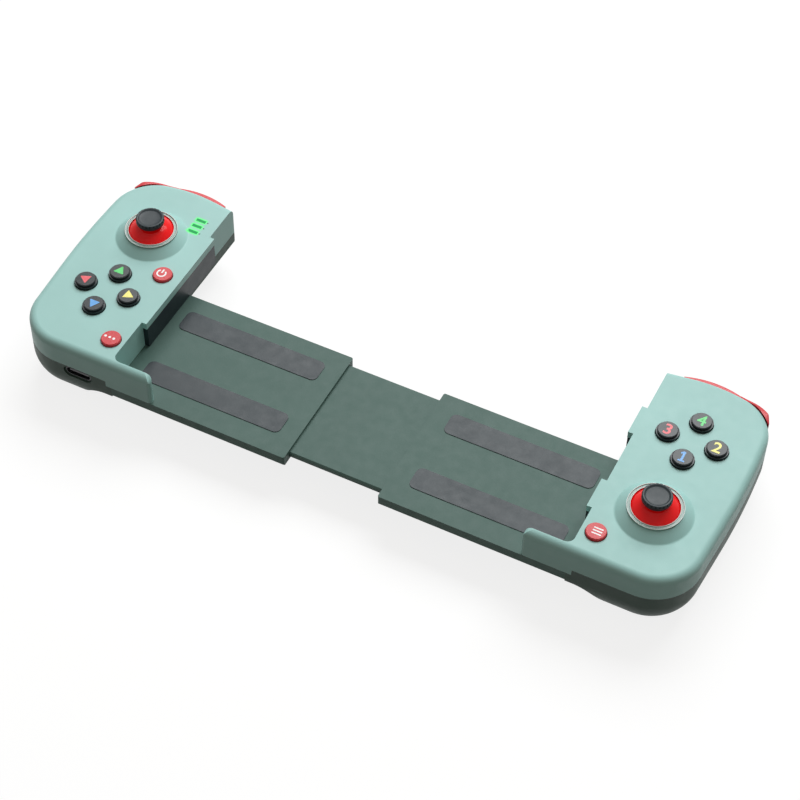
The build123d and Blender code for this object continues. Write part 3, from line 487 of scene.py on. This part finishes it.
def join_rows(mesh, rows, closed=True):
    """Faces between neighbouring rows of points, whose ends meet where they are closed."""
    count = len(rows[0])
    for first, second in zip(rows, rows[1:]):
        for low in range(count if closed else count - 1):
            high = (low + 1) % count
            mesh.faces.new((first[low], second[low], second[high], first[high]))


def capped_tube(mesh, rows):
    """Closed form through rows of points, with a face at each end."""
    join_rows(mesh, rows)
    mesh.faces.new(rows[0])
    mesh.faces.new(rows[-1])


def lathed(columns, closed):
    """Mesh round a vertical axis, from an angle and a profile of (radius, height) a column."""
    mesh = bmesh.new()
    rows = []
    for angle, profile in columns:
        across, along = math.cos(angle), math.sin(angle)
        rows.append([mesh.verts.new((r * across, r * along, z)) for r, z in profile])
    join_rows(mesh, rows + rows[:1], closed)
    bmesh.ops.remove_doubles(mesh, verts=mesh.verts, dist=MERGE_DISTANCE)
    bmesh.ops.recalc_face_normals(mesh, faces=mesh.faces)
    return mesh


def smooth_piece(name, mesh, body, slot):
    """Piece riding on a body, shaded smoothly but for its sharp edges."""
    for face in mesh.faces:
        face.smooth = True
    piece = mark(name, mesh, body, materials[slot])
    piece.data.set_sharp_from_angle(angle=SHARP_ANGLE)
    return piece


def trim(node, columns, closed, body, slot):
    """Lathed piece that stands for a CAD node, over the middle of its foot."""
    mesh = lathed(columns, closed)
    (x, y), foot, _ = plan_of(node)
    bmesh.ops.translate(mesh, verts=mesh.verts, vec=(x, y, foot))
    piece = smooth_piece(f"{node}_trim", mesh, body, slot)
    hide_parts(node)


def placed(outline, centre, heading=0.0):
    """Outline turned by the heading, in radians from +Y towards -X, and moved to the centre."""
    turn = Matrix.Rotation(heading, 2)
    return [tuple(turn @ Vector(point) + Vector(centre)) for point in outline]


def rounded(corners, radius, steps=5):
    """Closed outline with rounded corners, from corners given counterclockwise."""
    points = []
    count = len(corners)
    for index, corner in enumerate(corners):
        here = Vector(corner)
        back = (Vector(corners[index - 1]) - here).normalized()
        ahead = (Vector(corners[(index + 1) % count]) - here).normalized()
        half = back.angle(ahead) / 2
        middle = here + (back + ahead).normalized() * radius / math.sin(half)
        start = here + back * radius / math.tan(half) - middle
        end = here + ahead * radius / math.tan(half) - middle
        sweep = start.angle_signed(end)
        for step in range(steps + 1):
            turn = Matrix.Rotation(-sweep * step / steps, 2)
            points.append(tuple(middle + turn @ start))
    return points


def bar(low_x, low_y, high_x, high_y, radius):
    """Rectangle with rounded corners."""
    corners = [(low_x, low_y), (high_x, low_y), (high_x, high_y), (low_x, high_y)]
    return rounded(corners, radius)


def disc(radius, steps=28):
    """Circle as an outline."""
    angles = [2 * math.pi * i / steps for i in range(steps)]
    return [(radius * math.cos(a), radius * math.sin(a)) for a in angles]


def arc_band(radius, width, start, end, steps=36):
    """Part of a ring, from start to end in radians from +X."""
    angles = [start + (end - start) * i / steps for i in range(steps + 1)]
    outer_r, inner_r = radius + width / 2, radius - width / 2
    outer = [(outer_r * math.cos(a), outer_r * math.sin(a)) for a in angles]
    inner = [(inner_r * math.cos(a), inner_r * math.sin(a)) for a in angles]
    return outer + inner[::-1]


def in_mm(edge):
    """Profile in metres from one in millimetres."""
    return [(r * MM, z * MM) for r, z in edge]


# Trim rings with a groove between two narrow lips: radius and height over the ring's foot
RING_STEPS = 128
RING_EDGE = [
    (7.60, 0.0),
    (8.30, 0.0),
    (8.30, 0.69),
    (8.25, 0.75),
    (8.17, 0.75),
    (8.12, 0.69),
    (8.08, 0.48),
    (7.98, 0.45),
    (7.44, 0.45),
    (7.34, 0.48),
    (7.30, 0.69),
    (7.25, 0.75),
    (7.17, 0.75),
    (7.12, 0.69),
    (7.12, 0.55),
]
# Thumb caps with a notched rim round a hollowed top: radius and height over the cap's foot
CAP_EDGE = [
    (0.0, 1.2),
    (1.03, 1.2),
    (1.03, 0.0),
    (4.00, 0.0),
    (4.30, 0.10),
    (4.45, 0.40),
    (4.45, 1.18),
    (4.45, 1.24),
    (4.45, 1.66),
    (4.38, 1.86),
    (4.22, 1.97),
    (4.05, 2.0),
    (3.85, 2.0),
    (3.70, 1.95),
    (3.52, 1.78),
    (3.38, 1.68),
    (3.10, 1.64),
    (2.0, 1.60),
    (0.0, 1.57),
]
CAP_NOTCHES = 24
NOTCH_FLOOR_R = 4.2
NOTCH_LOW = 1.2
# Columns of one notch and the rim after it: degrees from the notch's middle, and whether it's cut
NOTCH_COLUMNS = (
    (-3.1, False),
    (-2.1, True),
    (2.1, True),
    (3.1, False),
    (5.3, False),
    (7.5, False),
    (9.7, False),
)

ring_edge = in_mm(RING_EDGE)
ring_columns = [(2 * math.pi * i / RING_STEPS, ring_edge) for i in range(RING_STEPS)]
cap_edge = in_mm(CAP_EDGE)
notched_edge = in_mm([(min(r, NOTCH_FLOOR_R) if z > NOTCH_LOW else r, z) for r, z in CAP_EDGE])
cap_columns = [
    (math.radians(360 / CAP_NOTCHES * i + degrees), notched_edge if cut else cap_edge)
    for i in range(CAP_NOTCHES)
    for degrees, cut in NOTCH_COLUMNS
]
for side, _ in SIDES:
    trim(f"{side}_stick_ring", ring_columns, True, f"{side}_grip", "ring_plastic")
    trim(f"{side}_stick_cap", cap_columns, False, f"{side}_stick_top", "soft_rubber")

# Ends of the bumpers, which wrap round the grips' outer far corners. Lengths in millimetres.
CORNER_CENTRE = (96.139, 20.242)
CORNER_R = 15.0
# Angle round the corner's centre in degrees, outer distance beyond the wall, and top height
TIP_STATIONS = [
    (86, 2.35, 20.72),
    (82, 2.11, 20.90),
    (78, 1.87, 21.20),
    (74, 1.68, 21.60),
    (70, 1.54, 22.00),
    (66, 1.44, 22.40),
    (62, 1.40, 22.75),
    (58, 1.40, 23.00),
    (54, 1.46, 23.20),
    (50, 1.56, 23.30),
    (47, 1.64, 23.30),
    (45, 1.50, 23.25),
    (42, 1.18, 23.10),
    (39, 0.90, 22.90),
    (36, 0.70, 22.60),
]
TIP_LOW_Z = 14.6
TIP_CLEARANCE = 0.12
TIP_TRAVEL = 0.7
TIP_EDGE = 0.4
TIP_EDGE_BULGE = 0.3
TIP_THIN = 0.1
TIP_INNER_DROPS = (0, 0.3, 0.6, 1.0)
TIP_INNER_FOOT = 1.2
FACE_ROUND = 2.4
ROUND_Z = 21.6


def over_round(z):
    """How far the face's rounded edge draws in at that height."""
    rise = max(0.0, z - ROUND_Z)
    return FACE_ROUND - math.sqrt(FACE_ROUND**2 - rise**2)


def tip_section(degrees, proud, top_z):
    """Section of a bumper's end, as distances beyond the wall and heights."""
    near = TIP_CLEARANCE + TIP_TRAVEL * math.sin(math.radians(degrees))
    edge = min(TIP_EDGE, proud - near - TIP_THIN)
    return [
        (near, TIP_LOW_Z),
        (proud - edge, TIP_LOW_Z),
        (proud, TIP_LOW_Z + edge),
        (proud, top_z - edge),
        (proud - TIP_EDGE_BULGE * edge, top_z - TIP_EDGE_BULGE * edge),
        (proud - edge, top_z),
        *[(near - over_round(top_z - drop), top_z - drop) for drop in TIP_INNER_DROPS],
        (near, ROUND_Z - TIP_INNER_FOOT),
    ]


def bumper_tip(sign):
    """Strip round the outer far corner, clear of the wall through the bumper's travel."""
    mesh = bmesh.new()
    rows = []
    for degrees, proud, top_z in TIP_STATIONS:
        angle = math.radians(degrees)
        row = []
        for beyond, z in tip_section(degrees, proud, top_z):
            reach = CORNER_R + beyond
            x = CORNER_CENTRE[0] + reach * math.cos(angle)
            y = CORNER_CENTRE[1] + reach * math.sin(angle)
            row.append(mesh.verts.new((sign * x * MM, y * MM, z * MM)))
        rows.append(row)
    capped_tube(mesh, rows)
    bmesh.ops.recalc_face_normals(mesh, faces=mesh.faces)
    return mesh


for side, sign in SIDES:
    smooth_piece(f"{side}_bumper_tip", bumper_tip(sign), f"{side}_bumper", "red_plastic")

# Tension springs of the bridge as coils
COIL_R = 0.45 * MM
COIL_WIRE = 0.2 * MM
COIL_PITCH = 1.5 * MM
COIL_STEPS = 10
COIL_SIDES = ((1, 0), (0, 1), (-1, 0), (0, -1))
COIL_OUTER_R = COIL_R + COIL_WIRE / 2


def add_coil(mesh, start, end, y, z):
    """Round spring along X, from start to end."""
    count = round(abs(end - start) / COIL_PITCH * COIL_STEPS)
    along = Vector((1, 0, 0))
    rows = []
    for step in range(count + 1):
        angle = 2 * math.pi * step / COIL_STEPS
        out = Vector((0, math.cos(angle), math.sin(angle)))
        centre = Vector((start + (end - start) * step / count, y, z)) + out * COIL_R
        ring = [centre + (out * i + along * j) * COIL_WIRE / 2 for i, j in COIL_SIDES]
        rows.append([mesh.verts.new(point) for point in ring])
    capped_tube(mesh, rows)


for side, _ in SIDES:
    node = f"{side}_bridge_springs"
    low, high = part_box(node)
    near_x, far_x = sorted((low.x, high.x), key=abs)
    middle_z = (low.z + high.z) / 2
    mesh = bmesh.new()
    for y in (low.y + COIL_OUTER_R, high.y - COIL_OUTER_R):
        add_coil(mesh, near_x, far_x, y, middle_z)
    bmesh.ops.recalc_face_normals(mesh, faces=mesh.faces)
    piece = new_piece(f"{side}_bridge_coils", mesh, materials["steel"])
    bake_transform(piece)
    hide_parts(node)

# Arrows on the direction buttons, with their headings in degrees
ARROW_R = 2.05 * MM
ARROW_ROUND = 0.18 * MM
THIRD_TURN = 2.0944
arrow_corners = [
    (ARROW_R * math.sin(a), ARROW_R * math.cos(a)) for a in (0, -THIRD_TURN, THIRD_TURN)
]
arrow = rounded(arrow_corners, ARROW_ROUND)
for node, color, heading in (
    ("dpad_left", "red", 204),
    ("dpad_up", "green", 120),
    ("dpad_right", "yellow", 24),
    ("dpad_down", "blue", 300),
):
    centre, _, top = plan_of(node)
    outline = placed(arrow, centre, math.radians(heading))
    legend(f"{node}_arrow", [outline], top, node, inks[color])

# Plain numbers on the face buttons
DIGIT_HIGH = 3.9 * MM
DIGIT_WEIGHT = 0.11 * MM
DIGIT_CURVE_STEPS = 4
FONT_DIGIT_SHARE = 0.72
# The 1 has its own outline with a flag and a foot, in shares of its height
ONE_SHARES = [
    (-0.26, -0.50),
    (0.26, -0.50),
    (0.26, -0.36),
    (0.09, -0.36),
    (0.09, 0.50),
    (-0.06, 0.50),
    (-0.27, 0.33),
    (-0.21, 0.20),
    (-0.09, 0.28),
    (-0.09, -0.36),
    (-0.26, -0.36),
]


def digit(text):
    """Plain digit of the built-in font as a centred mesh."""
    curve = bpy.data.curves.new("digit", "FONT")
    curve.body = text
    curve.extrude = (MARK_SINK + MARK_RISE) / 2
    curve.offset = DIGIT_WEIGHT
    curve.size = DIGIT_HIGH / FONT_DIGIT_SHARE
    curve.resolution_u = DIGIT_CURVE_STEPS
    holder = bpy.data.objects.new("digit", curve)
    scene.collection.objects.link(holder)
    bpy.context.view_layer.update()
    data = bpy.data.meshes.new_from_object(holder)
    bpy.data.objects.remove(holder)
    mesh = bmesh.new()
    mesh.from_mesh(data)
    xs = [v.co.x for v in mesh.verts]
    ys = [v.co.y for v in mesh.verts]
    middle = Vector(((min(xs) + max(xs)) / 2, (min(ys) + max(ys)) / 2, 0))
    bmesh.ops.translate(mesh, verts=mesh.verts, vec=-middle)
    return mesh


for node, color, text in (
    ("face_button_near", "blue", "1"),
    ("face_button_right", "yellow", "2"),
    ("face_button_left", "red", "3"),
    ("face_button_far", "green", "4"),
):
    centre, _, top = plan_of(node)
    if text == "1":
        one = [(DIGIT_HIGH * across, DIGIT_HIGH * up) for across, up in ONE_SHARES]
        mesh = slab([placed(one, centre)], top - MARK_SINK, top + MARK_RISE)
    else:
        mesh = digit(text)
        middle_z = top + (MARK_RISE - MARK_SINK) / 2
        bmesh.ops.translate(mesh, verts=mesh.verts, vec=(*centre, middle_z))
    mark(f"{node}_digit", mesh, node, inks[color])

# Power symbol, three dots and three bars on the small buttons
SYMBOL_R = 1.35 * MM
SYMBOL_LINE = 0.5 * MM
SYMBOL_GAP = math.radians(38)
STEM_LOW = 0.1 * MM
STEM_HIGH = 1.75 * MM
STEM_ROUND = 0.12 * MM
centre, _, top = plan_of("power_button")
ring = arc_band(SYMBOL_R, SYMBOL_LINE, math.pi / 2 + SYMBOL_GAP, math.pi * 2.5 - SYMBOL_GAP)
stem = bar(-SYMBOL_LINE / 2, STEM_LOW, SYMBOL_LINE / 2, STEM_HIGH, STEM_ROUND)
symbol = [placed(ring, centre), placed(stem, centre)]
legend("power_symbol", symbol, top, "power_button", inks["white"])

DOT_R = 0.42 * MM
DOT_STEP = 1.45 * MM
centre, _, top = plan_of("select_button")
dots = [placed(disc(DOT_R), (centre[0] + DOT_STEP * i, centre[1])) for i in (-1, 0, 1)]
legend("select_dots", dots, top, "select_button", inks["white"])

BAR_HALF = 1.45 * MM
BAR_LINE = 0.42 * MM
BAR_STEP = 1.0 * MM
BAR_ROUND = 0.18 * MM
centre, _, top = plan_of("start_button")
one_bar = bar(-BAR_HALF, -BAR_LINE / 2, BAR_HALF, BAR_LINE / 2, BAR_ROUND)
bars = [placed(one_bar, (centre[0], centre[1] + BAR_STEP * i)) for i in (-1, 0, 1)]
legend("start_bars", bars, top, "start_button", inks["white"])

# Tiny dots beside the three lights
FACE_TOP = 24.0 * MM
TICK_AWAY = 2.4 * MM
TICK_R = 0.28 * MM
TICK_STEPS = 16
ticks = [placed(disc(TICK_R, TICK_STEPS), (light_x + TICK_AWAY, y)) for y in light_ys]
legend("light_ticks", ticks, FACE_TOP, "left_grip", inks["dark"])

# Cross recesses in the screw heads, seen from below through their wells, each turned further; drawn
# as flat black marks, painted shade for the recesses
SCREW_PLACES = ((101.5, -32.3), (104.5, 21.6), (80.0, -24.4))
HEAD_Z = 10.0 * MM
CROSS_HALF = 0.95 * MM
CROSS_LINE = 0.2 * MM
CROSS_TURN = 0.4
cross = []
quarter = [(CROSS_LINE, CROSS_LINE), (CROSS_LINE, CROSS_HALF), (-CROSS_LINE, CROSS_HALF)]
for _ in range(4):
    cross += quarter
    quarter = [(-y, x) for x, y in quarter]
for side, sign in SIDES:
    crosses = [
        placed(cross, (sign * x * MM, y * MM), CROSS_TURN + index)
        for index, (x, y) in enumerate(SCREW_PLACES)
    ]
    mesh = slab(crosses, HEAD_Z - MARK_RISE, HEAD_Z + MARK_SINK)
    mark(f"{side}_screw_crosses", mesh, f"{side}_grip", inks["black"])


def seen_rays(tree):
    """1 for camera, glossy and transmission rays."""
    light_path = tree.nodes.new("ShaderNodeLightPath")
    total = light_path.outputs["Is Camera Ray"]
    for output in ("Is Glossy Ray", "Is Transmission Ray"):
        total = computed(tree, "MAXIMUM", total, light_path.outputs[output])
    return total


def finished(tree, output_node, unseen, seen):
    """Send one shader to the rays that light the object, and another to those that are seen."""
    mix = tree.nodes.new("ShaderNodeMixShader")
    tree.links.new(seen_rays(tree), mix.inputs["Fac"])
    tree.links.new(unseen, mix.inputs[1])
    tree.links.new(seen, mix.inputs[2])
    tree.links.new(mix.outputs["Shader"], output_node.inputs["Surface"])


def floor_material():
    """White ground that keeps the object's shadow, and bounces little light back."""
    material = bpy.data.materials.new("floor_white")
    material.use_nodes = True
    tree = material.node_tree
    tree.nodes.clear()
    output = tree.nodes.new("ShaderNodeOutputMaterial")
    unseen = tree.nodes.new("ShaderNodeBsdfDiffuse")
    unseen.inputs["Color"].default_value = (*FLOOR_BOUNCE, 1)
    shaded = tree.nodes.new("ShaderNodeBsdfDiffuse")
    shaded.inputs["Color"].default_value = (*FLOOR_SHADED, 1)
    white = tree.nodes.new("ShaderNodeEmission")
    white.inputs["Strength"].default_value = FLOOR_GLOW
    pale = tree.nodes.new("ShaderNodeAddShader")
    tree.links.new(shaded.outputs["BSDF"], pale.inputs[0])
    tree.links.new(white.outputs["Emission"], pale.inputs[1])
    finished(tree, output, unseen.outputs["BSDF"], pale.outputs["Shader"])
    return material


def background(tree, color, strength):
    """Even light from all round."""
    node = tree.nodes.new("ShaderNodeBackground")
    node.inputs["Color"].default_value = (*color, 1)
    node.inputs["Strength"].default_value = strength
    return node.outputs["Background"]


# Floor
mesh = bmesh.new()
bmesh.ops.create_grid(mesh, x_segments=1, y_segments=1, size=FLOOR_SIZE / 2)
floor = new_piece("floor", mesh, floor_material())

# Surroundings
world = bpy.data.worlds.new("studio")
world.use_nodes = True
scene.world = world
world.node_tree.nodes.clear()
finished(
    world.node_tree,
    world.node_tree.nodes.new("ShaderNodeOutputWorld"),
    background(world.node_tree, ROOM_COLOR, ROOM_STRENGTH),
    background(world.node_tree, BACKDROP_COLOR, BACKDROP_STRENGTH),
)

# Lamp over the far side, aimed at the origin
data = bpy.data.lights.new("top_light", "AREA")
data.shape = "RECTANGLE"
data.size, data.size_y = LAMP_SIZE
data.energy = LAMP_WATTS
data.color = LAMP_COLOR
lamp = bpy.data.objects.new("top_light", data)
lamp.location = LAMP_PLACE
lamp.rotation_euler = (-Vector(LAMP_PLACE)).to_track_quat("-Z", "Y").to_euler()
scene.collection.objects.link(lamp)

# Camera
data = bpy.data.cameras.new("camera")
data.sensor_width = SENSOR
data.lens = SENSOR * FOCAL_PIXELS / PHOTO_PIXELS
data.clip_start = CAMERA_CLIP_START
camera = bpy.data.objects.new("camera", data)
scene.collection.objects.link(camera)
azimuth, elevation, roll = CAMERA_AZIMUTH, CAMERA_ELEVATION, CAMERA_ROLL
flat_right = Vector((math.cos(azimuth), math.sin(azimuth), 0))
back = Vector(
    (
        math.sin(azimuth) * math.cos(elevation),
        -math.cos(azimuth) * math.cos(elevation),
        math.sin(elevation),
    )
)
flat_up = back.cross(flat_right)
right = flat_right * math.cos(roll) + flat_up * math.sin(roll)
up = flat_up * math.cos(roll) - flat_right * math.sin(roll)
turn = Matrix((right, up, back)).transposed().to_4x4()
camera.matrix_world = Matrix.Translation(CAMERA_PLACE) @ turn
scene.camera = camera
scene.view_settings.view_transform = "Standard"
